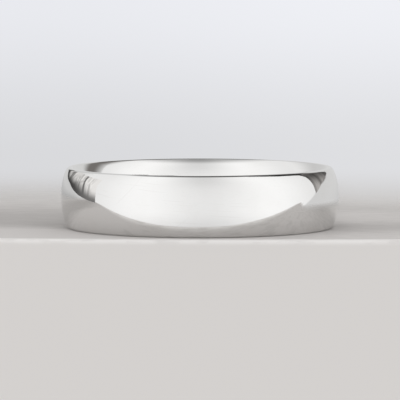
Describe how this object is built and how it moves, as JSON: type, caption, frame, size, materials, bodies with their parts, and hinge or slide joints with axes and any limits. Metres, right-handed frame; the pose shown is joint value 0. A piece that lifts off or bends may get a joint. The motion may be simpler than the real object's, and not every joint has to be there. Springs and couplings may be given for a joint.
{
  "type": "wedding band",
  "caption": "Plain mirror-polished court wedding band with a domed outside, a rounded comfort-fit inside and narrow flat rims, worn on the finger.",
  "frame": {"origin": "middle of the finger hole, on its axis, half way between the two rims", "axes": "+Z along the finger axis, square to the rims; +Y towards the soldered seam at the back; the band lies on its lower rim"},
  "size_m": [0.023, 0.023, 0.005],
  "materials": {
    "polished_platinum": "mirror polished",
    "platinum_solder": "mirror polished, flush with the band"
  },
  "bodies": {
    "root": {"band": "polished_platinum", "solder_seam": "platinum_solder"}
  },
  "joints": []
}
